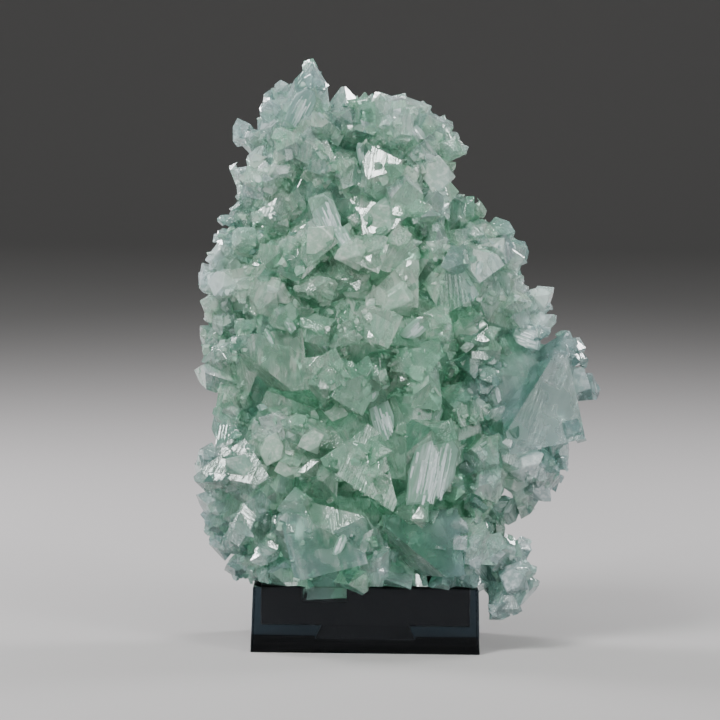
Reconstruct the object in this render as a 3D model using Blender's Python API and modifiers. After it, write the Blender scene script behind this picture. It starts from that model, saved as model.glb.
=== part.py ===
"""A green apophyllite cluster, bedded in black putty on a smoked acrylic block.

The cluster is a knobbly mass of lobes, and crystals radiate from growth centres all over it.
+X is to the right, +Y away from the viewer and +Z up, in metres.
The origin is the middle of the block's underside.
"""

import math
import random
from typing import NamedTuple

import bmesh
import bpy
from mathutils import Matrix, Vector

MM = 0.001
GAP = 0.3 * MM
BITE = 0.1 * MM
TINY = 0.001

BLOCK_WIDTH = 70 * MM
BLOCK_DEPTH = 50 * MM
BLOCK_HEIGHT = 20 * MM
BLOCK_TAPER = 0.6 * MM
BLOCK_EDGE = 0.35 * MM

RECESS_WIDTH = 64 * MM
RECESS_DEPTH = 44 * MM
RECESS_FLOOR = 8.2 * MM

POCKET_WIDTH = 31 * MM
POCKET_DEPTH = 16 * MM
POCKET_FLOOR = 3.7 * MM
POCKET_TAPER = 2.2 * MM
POCKET_Y = -13 * MM

NOTCH_X = -12.5 * MM
NOTCH_WIDTH = 14 * MM
NOTCH_DEPTH = 7 * MM
NOTCH_FLOOR = 15.4 * MM

UP = Vector((0, 0, 1))
VIEWER = Vector((0, -1, 0))
NEARLY_ALONG = 0.25
PYRAMID_TILT = math.radians(60.4)
GOLDEN_TURN = math.pi * (3 - math.sqrt(5))

# How crystals stand: the root's share of the tip's width, and how far back of its place a fan starts.
ROOT_TAPER = 0.6
SET_BACK = 0.35
LONE_REACH = 1.35
FAN_REACH = (1.2, 1.5)
FAN_WIDTH = (0.75, 1.1)
FAN_TWIST = 40

CRYSTAL_COLOUR = (0.42, 0.60, 0.50, 1)
ACRYLIC_COLOUR = (0.03, 0.035, 0.04, 1)
PUTTY_COLOUR = (0.012, 0.012, 0.013, 1)


class Lobe(NamedTuple):
    """An ellipsoid of the inner mass: its centre and half sizes, in millimetres."""

    x: float
    y: float
    z: float
    rx: float
    ry: float
    rz: float


class Habit(NamedTuple):
    """A crystal's proportions, in half widths: its thickness, its body, and where its pyramid would end.

    faces is how many of the pyramid's four faces grew, and unevenness how far they stand off.
    """

    thickness: float
    body: float
    apex: float
    unevenness: float
    faces: int


class Spray(NamedTuple):
    """Crystals that fan out from one growth centre on the front, in millimetres and degrees.

    clock is the way they point in the front view, clockwise from straight up.
    toward is how far they lean out at the viewer, and depth moves the centre back to the middle.
    """

    x: float
    z: float
    clock: float
    toward: float
    reach: float
    width: float
    count: int
    spread: float
    habit: str
    depth: float = 0.0
    twist: float = 0.0


HABITS = {
    "pointed": Habit(0.9, 2.9, 0.15, 0.15, 4),
    "blunt": Habit(0.85, 2.4, 0.75, 0.35, 2),
    "blocky": Habit(0.9, 1.6, 0.7, 0.25, 1),
    "plate": Habit(0.34, 2.2, 0.7, 0.35, 2),
    "chisel": Habit(0.55, 2.3, 0.4, 0.5, 2),
}
VARIANTS = 4

LOBES = (
    Lobe(-21, 1, 153, 13, 15, 18),
    Lobe(-25, 2, 138, 14, 15, 15),
    Lobe(6, 1, 152, 14, 16, 14),
    Lobe(-5, -2, 136, 25, 19, 20),
    Lobe(-33, 3, 110, 14, 17, 16),
    Lobe(-14, -2, 116, 26, 22, 20),
    Lobe(22, 0, 118, 20, 20, 17),
    Lobe(37, 3, 105, 13, 16, 16),
    Lobe(0, -3, 92, 34, 25, 26),
    Lobe(-31, 1, 86, 15, 19, 19),
    Lobe(40, 0, 80, 19, 19, 18),
    Lobe(6, -3, 62, 37, 25, 24),
    Lobe(-32, -2, 48, 16, 18, 19),
    Lobe(37, 1, 60, 16, 17, 13),
    Lobe(-8, -2, 37, 32, 22, 18),
    Lobe(20, -2, 37, 20, 20, 17),
    Lobe(42, -8, 25, 6, 8, 9),
)

SPRAYS = (
    # The head, from its left peak over the top to its right side.
    Spray(-20, 163, 6, 8, 17, 5.4, 1, 0, "pointed", 0.6, 20),
    Spray(-26.5, 160, -28, 20, 10, 3.6, 2, 24, "chisel", 0.5),
    Spray(-30, 154, -50, 20, 9, 4, 2, 30, "blunt", 0.6),
    Spray(-33.5, 145, -75, 25, 9, 4.3, 2, 42, "blunt", 0.5),
    Spray(-36, 136, -88, 25, 9, 3.8, 2, 34, "chisel", 0.5),
    Spray(-36, 128, -98, 25, 9, 3.6, 2, 34, "blunt", 0.4),
    Spray(-8, 160, -2, 10, 12.5, 4.8, 1, 0, "pointed", 0.5, 10),
    Spray(-3, 160, 5, 15, 11, 2.4, 1, 0, "pointed", 0.4, 30),
    Spray(3, 159, -4, 8, 11.5, 4.2, 2, 18, "blocky", 0.6),
    Spray(10, 158, 8, 8, 11, 4.6, 2, 20, "blocky", 0.5),
    Spray(17, 153, 40, 12, 10.5, 5, 2, 26, "blocky", 0.5),
    Spray(12.8, 146.6, 90, 6, 12.5, 5.4, 1, 0, "plate", 0.7, 84),
    Spray(15, 140, 92, 14, 9, 4.6, 1, 0, "blocky", 0.6),
    # The front of the head.
    Spray(-22, 152, -12, 62, 9, 4.7, 2, 42, "blunt"),
    Spray(-30, 142, -50, 50, 9, 5, 1, 35, "blunt"),
    Spray(-14, 158, 5, 60, 8, 4.6, 1, 32, "chisel"),
    Spray(-7, 155, 4, 38, 12, 3.8, 2, 25, "plate"),
    Spray(6, 158, 8, 55, 9, 6.2, 1, 30, "blocky"),
    Spray(12, 155, 145, 28, 11, 3.6, 1, 0, "plate", 0.0, 18),
    Spray(16, 148, 45, 60, 8, 6, 1, 32, "blocky"),
    Spray(6, 143, 10, 72, 10, 6.5, 2, 42, "blunt"),
    Spray(17, 138, 80, 50, 9, 5.2, 2, 32, "blocky"),
    Spray(-12, 147, -20, 70, 9, 5.4, 2, 42, "blunt"),
    Spray(-3, 150, 60, 55, 10, 4.2, 1, 0, "chisel"),
    Spray(-27, 131, -35, 60, 9, 5, 1, 36, "chisel"),
    # The shoulders and the upper middle.
    Spray(-12, 126, -14, 24, 15, 3.8, 1, 0, "plate", 0.0, 12),
    Spray(-16, 124, -40, 74, 8, 6, 1, 30, "blocky"),
    Spray(-5, 121, 20, 76, 9, 5.6, 2, 34, "blocky"),
    Spray(-26, 120, -30, 68, 9, 5.2, 2, 42, "blunt"),
    Spray(-37, 121, -42, 30, 11, 5, 2, 28, "chisel", 0.3),
    Spray(-41, 113, -68, 18, 11, 5.2, 2, 30, "plate", 0.5, 25),
    Spray(-43, 106, -92, 25, 9, 4.8, 2, 30, "blunt", 0.4),
    Spray(-36, 113, -50, 62, 7, 6.7, 1, 35, "blocky"),
    Spray(-28, 107, 0, 74, 9, 6, 2, 42, "blunt"),
    Spray(-17, 110, 15, 72, 9, 5.8, 1, 36, "chisel"),
    Spray(5, 126, 10, 70, 10, 6.7, 2, 40, "blunt"),
    Spray(7, 112, -10, 82, 8, 8, 1, 0, "blocky"),
    Spray(18, 129, 35, 60, 10, 5.4, 2, 34, "chisel"),
    Spray(28, 128, 35, 25, 10, 5, 2, 36, "blunt", 0.5),
    Spray(34, 123, 50, 25, 9.5, 4.2, 2, 34, "blunt", 0.5),
    Spray(30, 119, 55, 62, 9, 6.2, 1, 36, "blunt"),
    Spray(22, 112, 60, 75, 9, 7.4, 1, 34, "blocky"),
    Spray(39, 116, 68, 25, 9, 4.1, 2, 38, "chisel", 0.5),
    Spray(41.5, 108, 62, 22, 11, 3.2, 2, 30, "pointed", 0.4),
    Spray(47, 100, 50, 25, 11, 5, 2, 34, "blunt", 0.4),
    # The broad middle.
    Spray(-42.5, 96, -85, 25, 9.5, 4.8, 2, 36, "blunt", 0.4),
    Spray(-41.5, 86, -92, 25, 9.5, 5.2, 2, 34, "blunt", 0.4),
    Spray(-38.5, 75, -105, 28, 10, 4.8, 2, 34, "chisel", 0.4),
    Spray(-34, 69, -95, 30, 11, 5.2, 1, 0, "blunt", 0.5),
    Spray(-29, 87, -16, 78, 8, 10.5, 1, 0, "blocky", 0.0, 8),
    Spray(-33, 97, -45, 65, 8, 5.2, 2, 36, "blunt"),
    Spray(-24, 75, -160, 62, 9, 8.2, 1, 30, "blocky"),
    Spray(-11, 98, -15, 70, 9, 5.8, 2, 42, "chisel"),
    Spray(1, 99, 25, 72, 9, 6.5, 1, 34, "blunt"),
    Spray(14, 98, 58, 35, 12, 3.6, 1, 0, "plate", 0.0, 10),
    Spray(-9, 84, -5, 72, 9, 6.3, 2, 44, "blunt"),
    Spray(3, 75, -12, 35, 14, 4.2, 1, 0, "plate", 0.0, 8),
    Spray(15, 86, 40, 70, 10, 6.4, 2, 36, "blunt"),
    Spray(33, 93, 30, 68, 9, 7.2, 2, 42, "blunt"),
    Spray(46, 97, 48, 55, 8, 6, 1, 36, "chisel"),
    Spray(54, 88, 72, 25, 11, 5.4, 2, 26, "blocky", 0.5),
    Spray(50, 76, 60, 74, 8, 13.5, 1, 0, "blocky", 0.0, -18),
    Spray(56, 79, 78, 12, 14.5, 4, 1, 0, "blocky", 0.5, 8),
    Spray(53, 71, 98, 25, 11, 5.2, 2, 28, "blocky", 0.5),
    Spray(27, 76, 75, 62, 9, 6.2, 1, 36, "blunt"),
    # The lower middle, with its long streaked blade.
    Spray(17, 47, 8, 22, 26, 8.2, 1, 0, "plate", 0.0, 14),
    Spray(0, 57, -20, 68, 10, 9.4, 2, 28, "blocky"),
    Spray(-18, 66, -20, 70, 9, 6.2, 1, 36, "blunt"),
    Spray(-27, 59, -30, 72, 8, 7.9, 1, 34, "blocky"),
    Spray(-15, 54, 20, 70, 8, 5.2, 2, 36, "chisel"),
    Spray(36, 57, 40, 70, 9, 6.3, 2, 42, "blunt"),
    Spray(51.5, 61, 108, 25, 11, 4.8, 2, 32, "blunt", 0.4),
    Spray(47.5, 51, 112, 28, 9, 4.8, 2, 32, "blocky", 0.4),
    Spray(44, 57, 70, 62, 8, 7, 1, 34, "blocky"),
    Spray(33, 46, 85, 60, 9, 6.5, 1, 36, "blunt"),
    Spray(38, 42, 112, 30, 9, 4.4, 2, 34, "chisel", 0.4),
    Spray(26, 52, 15, 66, 9, 4.2, 2, 34, "pointed"),
    # The low left lobe.
    Spray(-42, 61, -28, 10, 11, 3, 1, 0, "pointed", 0.6),
    Spray(-40, 56, -75, 20, 11, 5.2, 2, 38, "blunt", 0.5),
    Spray(-41.5, 47, -98, 20, 11, 5.4, 2, 38, "blunt", 0.5),
    Spray(-40, 37, -112, 20, 10.5, 5, 2, 34, "chisel", 0.5),
    Spray(-35, 31, -128, 22, 10.5, 5.2, 2, 38, "blunt", 0.4),
    Spray(-28, 27, -160, 25, 8.5, 5, 2, 34, "blocky", 0.4),
    Spray(-38, 52, -35, 66, 9, 8.2, 1, 36, "blocky"),
    Spray(-34, 40, -60, 70, 9, 8.6, 1, 36, "plate"),
    Spray(-30, 29, -110, 60, 9, 5.6, 2, 36, "blunt"),
    # The foot, and the small lobe that hangs beside the block.
    Spray(-12, 32, -15, 70, 10, 11.3, 1, 38, "blocky"),
    Spray(-22, 37, -30, 68, 8, 6.7, 1, 34, "blunt"),
    Spray(-21, 25, 185, 18, 8, 6, 2, 34, "blocky", -0.1),
    Spray(-1, 24, 175, 18, 8, 6.4, 2, 34, "blunt", -0.15),
    Spray(2, 31, 30, 72, 9, 6.4, 2, 36, "chisel"),
    Spray(17, 32, 10, 76, 8, 11.5, 1, 0, "blocky", 0.0, 6),
    Spray(11, 24, 180, 18, 8, 6.6, 2, 34, "blocky", -0.15),
    Spray(27, 25, 165, 18, 8, 6.2, 2, 34, "blocky", -0.15),
    Spray(12, 42, 0, 62, 9, 6.7, 1, 34, "blunt"),
    Spray(31, 35, 95, 60, 9, 6.7, 1, 36, "blunt"),
    Spray(36, 25, 100, 58, 9, 6.8, 2, 30, "blocky"),
    Spray(43, 26, 75, 20, 8.0, 4.2, 2, 36, "blunt", 0.2),
    Spray(43, 20, 135, 22, 8.5, 4.8, 2, 40, "blunt", 0.2),
    Spray(42, 28, 60, 30, 7.0, 3.8, 2, 34, "chisel", 0.2),
    # The tip that reaches down into the recess.
    Spray(-12.5, 25, 176, 0, 8.7, 6.2, 1, 0, "blocky"),
)

# A twenty-sided ball this much larger fills about the same room as the round lobe.
LOBE_SWELL = 1.12

# Crystals of the sides and back: how many per lobe, and how long and wide they are.
BACK_PER_LOBE = 8
BACK_REACH = (8.0, 12.0)
BACK_WIDTH = (5.6, 9.4)
BACK_LEAN = 0.5
BACK_SET_BACK = 0.6
BACK_LIMIT = 0.05
LOWEST_BACK = 26

# Lumps of putty pressed out from under the foot: centre, half width and half height.
LUMP_DEPTH = 0.62
LUMP_RIPPLE = 0.06
LUMP_WAVES = (5, 4)
PUTTY_LUMPS = (
    (-25.5, -14, 20.8, 8.6, 3.2),
    (-4, -14.5, 20.8, 10.0, 3.4),
    (14, -10, 20.8, 14.0, 3.4),
    (-17, 8, 21.0, 15.0, 3.8),
    (2, 9, 21.0, 16.0, 3.6),
    (19, 7, 21.0, 12.0, 3.6),
)


def clear_scene():
    """Removes what the startup scene holds."""
    for obj in list(bpy.data.objects):
        bpy.data.objects.remove(obj)


def collection(name):
    """A new collection in the scene."""
    made = bpy.data.collections.new(name)
    bpy.context.scene.collection.children.link(made)
    return made


def material(name, colour, roughness):
    """A plain Principled material."""
    made = bpy.data.materials.new(name)
    made.use_nodes = True
    shader = made.node_tree.nodes["Principled BSDF"]
    shader.inputs["Base Color"].default_value = colour
    shader.inputs["Roughness"].default_value = roughness
    shader.inputs["Metallic"].default_value = 0
    return made


def new_object(name, mesh, group):
    """A mesh object in a collection."""
    obj = bpy.data.objects.new(name, mesh)
    group.objects.link(obj)
    return obj


def helper(obj):
    """Marks an object as a cutter or an operand, so that it is no piece of its own."""
    obj.hide_render = True
    obj.display_type = "WIRE"
    return obj


def box_mesh(name, low, high):
    """A box between two corners."""
    shape = bmesh.new()
    bmesh.ops.create_cube(shape, size=1)
    size = Vector(high) - Vector(low)
    middle = (Vector(high) + Vector(low)) / 2
    place = Matrix.Translation(middle) @ Matrix.Diagonal((*size, 1))
    bmesh.ops.transform(shape, verts=shape.verts, matrix=place)
    mesh = bpy.data.meshes.new(name)
    shape.to_mesh(mesh)
    shape.free()
    return mesh


def boolean(obj, operation, other):
    """Joins or cuts obj with an object or with every object of a collection.

    Every operand is closed, so the Manifold solver can be used. Exact leaves open edges in the cluster.
    """
    modifier = obj.modifiers.new(operation.title(), "BOOLEAN")
    modifier.operation = operation
    modifier.solver = "MANIFOLD"
    if isinstance(other, bpy.types.Collection):
        modifier.operand_type = "COLLECTION"
        modifier.collection = other
    else:
        modifier.object = other
    return modifier


def apply_modifiers(obj):
    """Turns what the modifiers make into the object's own mesh."""
    bpy.context.view_layer.update()
    graph = bpy.context.evaluated_depsgraph_get()
    mesh = bpy.data.meshes.new_from_object(obj.evaluated_get(graph))
    obj.modifiers.clear()
    obj.data = mesh


def unit_crystal(habit, variant):
    """A crystal one half width wide, its tip at the origin and its body running down -Z.

    Four pyramid faces stand at 60.4 degrees to the flat end, turned an eighth of a turn from the sides.
    """
    rng = random.Random(f"{habit} {variant}")
    form = HABITS[habit]
    shape = bmesh.new()
    bmesh.ops.create_cube(shape, size=2)
    half = Matrix.Diagonal((1, form.thickness, form.body / 2, 1))
    place = Matrix.Translation((0, 0, -form.body / 2)) @ half
    bmesh.ops.transform(shape, verts=shape.verts, matrix=place)
    for quarter in rng.sample(range(4), form.faces):
        around = math.radians(45 + 90 * quarter)
        normal = Vector((math.cos(around), math.sin(around), 0)) * math.sin(PYRAMID_TILT)
        normal.z = math.cos(PYRAMID_TILT)
        apex = form.apex + form.unevenness * rng.uniform(-1, 1)
        cut = bmesh.ops.bisect_plane(
            shape,
            geom=shape.verts[:] + shape.edges[:] + shape.faces[:],
            plane_co=(0, 0, max(apex, 0.05)),
            plane_no=normal,
            clear_outer=True,
        )
        rim = [piece for piece in cut["geom_cut"] if isinstance(piece, bmesh.types.BMEdge)]
        bmesh.ops.edgeloop_fill(shape, edges=rim)
    bmesh.ops.recalc_face_normals(shape, faces=shape.faces)
    mesh = bpy.data.meshes.new(f"{habit}_{variant}")
    shape.to_mesh(mesh)
    shape.free()
    return mesh


def turned(direction, twist):
    """A rotation whose Z is direction, and whose Y faces the viewer as nearly as it can, then twisted."""
    along = direction.normalized()
    facing = VIEWER - along * VIEWER.dot(along)
    if facing.length < NEARLY_ALONG:
        facing = UP - along * UP.dot(along)
    facing.normalize()
    side = facing.cross(along)
    basis = Matrix((side, facing, along)).transposed().to_4x4()
    return basis @ Matrix.Rotation(math.radians(twist), 4, "Z")


def grow_crystal(kinds, group, habit, variant, root, direction, reach, width, twist):
    """One crystal from root to its tip, its body drawn in towards the root."""
    mesh = kinds[habit, variant].copy()
    body = HABITS[habit].body
    for vertex in mesh.vertices:
        if vertex.co.z < TINY - body:
            vertex.co = (vertex.co.x * ROOT_TAPER, vertex.co.y * ROOT_TAPER, -max(reach / width, body))
    tip = root + direction.normalized() * reach
    mesh.transform(Matrix.Translation(tip * MM) @ turned(direction, twist) @ Matrix.Scale(width * MM, 4))
    return helper(new_object(f"crystal_{len(group.objects)}", mesh, group))


def front_of(x, z):
    """How far forward the lobes' front is at this place in the front view, or None beside them."""
    depths = []
    for lobe in LOBES:
        inside = 1 - ((x - lobe.x) / lobe.rx) ** 2 - ((z - lobe.z) / lobe.rz) ** 2
        if inside > 0:
            depths.append(lobe.y - lobe.ry * math.sqrt(inside))
    return min(depths) if depths else None


def pointing(clock, toward):
    """The direction of a clock angle in the front view, leaning out at the viewer."""
    clock, toward = math.radians(clock), math.radians(toward)
    across = math.cos(toward)
    return Vector((math.sin(clock) * across, -math.sin(toward), math.cos(clock) * across))


def fanned(direction, spread, index, count):
    """The index-th of count directions, spread evenly over a cone about direction."""
    if count == 1:
        return direction
    tilt = math.radians(spread) * math.sqrt((index + 0.5) / count)
    around = GOLDEN_TURN * index
    off_axis = Vector((math.cos(around) * math.sin(tilt), math.sin(around) * math.sin(tilt), math.cos(tilt)))
    return turned(direction, 0).to_3x3() @ off_axis


def grow_sprays(kinds, group):
    """The sprays of the front and the rim."""
    for number, spray in enumerate(SPRAYS):
        rng = random.Random(number)
        front = front_of(spray.x, spray.z) or 0
        aim = pointing(spray.clock, spray.toward)
        root = Vector((spray.x, front * (1 - spray.depth), spray.z)) - aim * spray.reach * SET_BACK
        for index in range(spray.count):
            direction = fanned(aim, spray.spread, index, spray.count)
            alone = spray.count == 1
            reach = spray.reach * (LONE_REACH if alone else rng.uniform(*FAN_REACH))
            width = spray.width * (1 if alone else rng.uniform(*FAN_WIDTH))
            twist = spray.twist + (0 if alone else rng.uniform(-FAN_TWIST, FAN_TWIST))
            variant = rng.randrange(VARIANTS)
            grow_crystal(kinds, group, spray.habit, variant, root, direction, reach, width, twist)


def inside_a_lobe(point, besides):
    """True if the point is in any lobe but the one named by its number."""
    for number, lobe in enumerate(LOBES):
        across = ((point.x - lobe.x) / lobe.rx, (point.y - lobe.y) / lobe.ry, (point.z - lobe.z) / lobe.rz)
        if number != besides and sum(part * part for part in across) < 1:
            return True
    return False


def grow_back(kinds, group):
    """Crystals spread evenly over the sides and the back of each lobe."""
    rng = random.Random(7)
    habits = ("blunt", "blocky", "chisel", "plate", "blunt", "pointed")
    for number, lobe in enumerate(LOBES):
        for index in range(BACK_PER_LOBE):
            height = 1 - 2 * (index + 0.5) / BACK_PER_LOBE
            around = GOLDEN_TURN * index + number
            ring = math.sqrt(1 - height * height)
            unit = Vector((ring * math.cos(around), ring * math.sin(around), height))
            root = Vector((lobe.x + unit.x * lobe.rx, lobe.y + unit.y * lobe.ry, lobe.z + unit.z * lobe.rz))
            lean = Vector([rng.uniform(-BACK_LEAN, BACK_LEAN) for _ in range(3)])
            reach, width = rng.uniform(*BACK_REACH), rng.uniform(*BACK_WIDTH)
            habit, variant, twist = rng.choice(habits), rng.randrange(VARIANTS), rng.uniform(0, 180)
            if unit.y < BACK_LIMIT or root.z < LOWEST_BACK or inside_a_lobe(root, number):
                continue
            normal = Vector((unit.x / lobe.rx, unit.y / lobe.ry, unit.z / lobe.rz)).normalized()
            direction = (normal + lean).normalized()
            root -= normal * reach * BACK_SET_BACK
            grow_crystal(kinds, group, habit, variant, root, direction, reach, width, twist)


def lobe_object(lobe, index, group):
    """One lobe of the inner mass, as a coarse ball."""
    shape = bmesh.new()
    bmesh.ops.create_icosphere(shape, subdivisions=1, radius=LOBE_SWELL)
    place = Matrix.Translation(Vector((lobe.x, lobe.y, lobe.z)) * MM)
    size = Matrix.Diagonal((lobe.rx * MM, lobe.ry * MM, lobe.rz * MM, 1))
    turn = Matrix.Rotation(index * GOLDEN_TURN, 4, "Z") @ Matrix.Rotation(index * GOLDEN_TURN, 4, "X")
    bmesh.ops.transform(shape, verts=shape.verts, matrix=place @ size @ turn)
    mesh = bpy.data.meshes.new(f"lobe_{index}")
    shape.to_mesh(mesh)
    shape.free()
    return new_object(f"lobe_{index}", mesh, group)


def keep_largest(mesh):
    """Deletes every shell of the mesh but the outer one: loose chips and closed bubbles between crystals."""
    shape = bmesh.new()
    shape.from_mesh(mesh)
    left, shells = set(shape.verts), []
    while left:
        shell, edge = set(), [left.pop()]
        while edge:
            vertex = edge.pop()
            shell.add(vertex)
            near = {link.other_vert(vertex) for link in vertex.link_edges} & left
            left -= near
            edge.extend(near)
        shells.append(shell)
    outer = max(shells, key=len)
    bmesh.ops.delete(shape, geom=[vertex for vertex in shape.verts if vertex not in outer], context="VERTS")
    shape.to_mesh(mesh)
    shape.free()


def block(name, group, grow=0.0):
    """The acrylic block with its recess, or with grow, a larger copy with a smaller recess for cutting."""
    half = Vector((BLOCK_WIDTH / 2 + grow, BLOCK_DEPTH / 2 + grow, 0))
    mesh = box_mesh(name, (-half.x, -half.y, 0), (half.x, half.y, BLOCK_HEIGHT + grow))
    for vertex in mesh.vertices:
        if vertex.co.z > BLOCK_HEIGHT / 2:
            vertex.co.x -= math.copysign(BLOCK_TAPER, vertex.co.x)
            vertex.co.y -= math.copysign(BLOCK_TAPER, vertex.co.y)
    made = new_object(name, mesh, group)
    if not grow:
        bevel = made.modifiers.new("Polished edges", "BEVEL")
        bevel.width = BLOCK_EDGE
        bevel.segments = 2
    recess = box_mesh(
        name + "_recess",
        (-RECESS_WIDTH / 2 + grow, -RECESS_DEPTH / 2 + grow, RECESS_FLOOR),
        (RECESS_WIDTH / 2 - grow, RECESS_DEPTH / 2 - grow, BLOCK_HEIGHT * 2),
    )
    boolean(made, "DIFFERENCE", helper(new_object(recess.name, recess, group)))
    return made


def pocket(name, group, side):
    """The deeper pocket in the recess's floor, wider at its own floor, or with side, the putty that fills it."""
    half = Vector((POCKET_WIDTH / 2 - side, POCKET_DEPTH / 2 - side, 0))
    low = (-half.x, POCKET_Y - half.y, POCKET_FLOOR + side)
    mesh = box_mesh(name, low, (half.x, POCKET_Y + half.y, RECESS_FLOOR + GAP * 2))
    for vertex in mesh.vertices:
        if vertex.co.z > RECESS_FLOOR:
            vertex.co.x -= math.copysign(POCKET_TAPER, vertex.co.x)
    return helper(new_object(name, mesh, group))


def putty(name, group, grow=0.0):
    """The putty that fills the recess and is pressed out over it, or with grow, a larger copy."""
    side = GAP - grow
    plug = box_mesh(
        name,
        (-RECESS_WIDTH / 2 + side, -RECESS_DEPTH / 2 + side, RECESS_FLOOR + side),
        (RECESS_WIDTH / 2 - side, RECESS_DEPTH / 2 - side, BLOCK_HEIGHT + GAP),
    )
    made = new_object(name, plug, group)
    boolean(made, "UNION", pocket(name + "_key", group, side))
    wide = BLOCK_WIDTH
    under = box_mesh(name + "_under", (-wide, -wide, 0), (wide, wide, BLOCK_HEIGHT + GAP))
    slice_off = helper(new_object(under.name, under, group))
    for number, (x, y, z, half_width, half_height) in enumerate(PUTTY_LUMPS):
        shape = bmesh.new()
        bmesh.ops.create_icosphere(shape, subdivisions=2, radius=1)
        for vertex in shape.verts:
            wave = math.sin(LUMP_WAVES[0] * vertex.co.x + number) * math.sin(LUMP_WAVES[1] * vertex.co.y)
            vertex.co *= 1 + LUMP_RIPPLE * wave
        half = Vector((half_width, half_width * LUMP_DEPTH, half_height)) * MM + Vector((grow, grow, grow))
        place = Matrix.Translation(Vector((x, y, z)) * MM) @ Matrix.Diagonal((*half, 1))
        bmesh.ops.transform(shape, verts=shape.verts, matrix=place)
        mesh = bpy.data.meshes.new(f"{name}_lump_{number}")
        shape.to_mesh(mesh)
        shape.free()
        lump = helper(new_object(mesh.name, mesh, group))
        boolean(lump, "DIFFERENCE", slice_off)
        apply_modifiers(lump)
        lump.location.z = -BITE
        boolean(made, "UNION", lump)
    notch = box_mesh(
        name + "_notch",
        (NOTCH_X - NOTCH_WIDTH / 2 + grow, -RECESS_DEPTH, NOTCH_FLOOR + grow),
        (NOTCH_X + NOTCH_WIDTH / 2 - grow, -RECESS_DEPTH / 2 + NOTCH_DEPTH - grow, BLOCK_HEIGHT * 2),
    )
    boolean(made, "DIFFERENCE", helper(new_object(notch.name, notch, group)))
    return made


def cluster(parts, helpers):
    """The whole specimen in one solid: lobes and crystals joined, then cut clear of block and putty."""
    made = lobe_object(LOBES[0], 0, parts)
    made.name = "crystal_cluster"
    grown = collection("Growth")
    for index, lobe in enumerate(LOBES[1:], 1):
        helper(lobe_object(lobe, index, grown))
    kinds = {}
    for habit in HABITS:
        for variant in range(VARIANTS):
            kinds[habit, variant] = unit_crystal(habit, variant)
    grow_sprays(kinds, grown)
    grow_back(kinds, grown)
    boolean(made, "UNION", grown)
    boolean(made, "DIFFERENCE", helper(block("block_clearance", helpers, GAP)))
    boolean(made, "DIFFERENCE", helper(putty("putty_clearance", helpers, GAP)))
    apply_modifiers(made)
    keep_largest(made.data)
    return made


def main():
    """Builds the three pieces."""
    clear_scene()
    parts, helpers = collection("Apophyllite cluster"), collection("Cutters")
    base = block("acrylic_base", parts)
    boolean(base, "DIFFERENCE", pocket("pocket", helpers, 0))
    base.data.materials.append(material("Smoked acrylic", ACRYLIC_COLOUR, 0.05))
    bed = putty("mounting_putty", parts)
    bed.data.materials.append(material("Black putty", PUTTY_COLOUR, 0.5))
    grown = cluster(parts, helpers)
    grown.data.materials.clear()
    grown.data.materials.append(material("Green apophyllite", CRYSTAL_COLOUR, 0.2))


if __name__ == "__main__":
    main()
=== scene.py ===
"""Dresses the apophyllite cluster: its crystals, the smoked acrylic block and the black putty.

Lengths are in metres unless a name ends in _mm. +X is to the right, +Y away from the viewer, +Z up.
The cluster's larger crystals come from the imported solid. Smaller crystals are grown on it here.
"""

import logging
import math
import random
from dataclasses import dataclass, field
from enum import Enum

import bmesh
import bpy
import numpy as np
from mathutils import Matrix, Vector, noise


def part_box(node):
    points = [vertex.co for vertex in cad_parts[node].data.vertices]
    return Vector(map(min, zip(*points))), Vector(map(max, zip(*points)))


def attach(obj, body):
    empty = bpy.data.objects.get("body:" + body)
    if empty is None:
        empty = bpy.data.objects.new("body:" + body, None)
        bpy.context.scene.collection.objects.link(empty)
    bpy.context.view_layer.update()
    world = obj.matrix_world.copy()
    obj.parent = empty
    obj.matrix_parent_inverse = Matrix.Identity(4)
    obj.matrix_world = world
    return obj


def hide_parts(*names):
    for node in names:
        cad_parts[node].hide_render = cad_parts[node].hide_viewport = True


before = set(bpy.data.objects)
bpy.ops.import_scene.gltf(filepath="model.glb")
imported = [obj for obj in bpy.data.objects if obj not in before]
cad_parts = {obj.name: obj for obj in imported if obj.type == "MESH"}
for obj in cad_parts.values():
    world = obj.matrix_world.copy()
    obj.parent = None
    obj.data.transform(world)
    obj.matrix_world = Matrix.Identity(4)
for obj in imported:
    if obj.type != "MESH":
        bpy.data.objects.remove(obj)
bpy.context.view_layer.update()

MM = 0.001
PYRAMID_TILT = math.radians(60.4)
CRYSTAL_IOR = 1.535
ACRYLIC_IOR = 1.49
VIEWER = Vector((0, -1, 0))
UP = Vector((0, 0, 1))

Colour = tuple[float, float, float, float]

log = logging.getLogger("apophyllite")


class Habit(Enum):
    """The ways in which one crystal can be built."""

    BLUNT = "blunt"
    BLOCKY = "blocky"
    PLATE = "plate"
    CHISEL = "chisel"


@dataclass(frozen=True)
class Form:
    """A crystal's proportions, in half widths.

    apex is how far past the flat end the pyramid would end, and faces is how many of its faces grew.
    unevenness is how far the pyramid's faces stand off from one another.
    """

    thickness: float
    body: float
    apex: float
    unevenness: float
    faces: int


FORMS = {
    Habit.BLUNT: Form(0.85, 3.0, 0.85, 0.35, 3),
    Habit.BLOCKY: Form(0.95, 2.6, 1.2, 0.3, 2),
    Habit.PLATE: Form(0.34, 2.8, 0.8, 0.4, 2),
    Habit.CHISEL: Form(0.55, 2.8, 0.4, 0.5, 3),
}
VARIANTS = 4

# How far a pyramid's faces turn from its corners, in degrees, and the least its end is cut, in half widths.
CORNER_SWAY = 6
LEAST_APEX = 0.05


@dataclass(frozen=True)
class Zone:
    """A round place on the front, in millimetres, and a value that holds there."""

    x_mm: float
    z_mm: float
    radius_mm: float
    value: float


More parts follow.
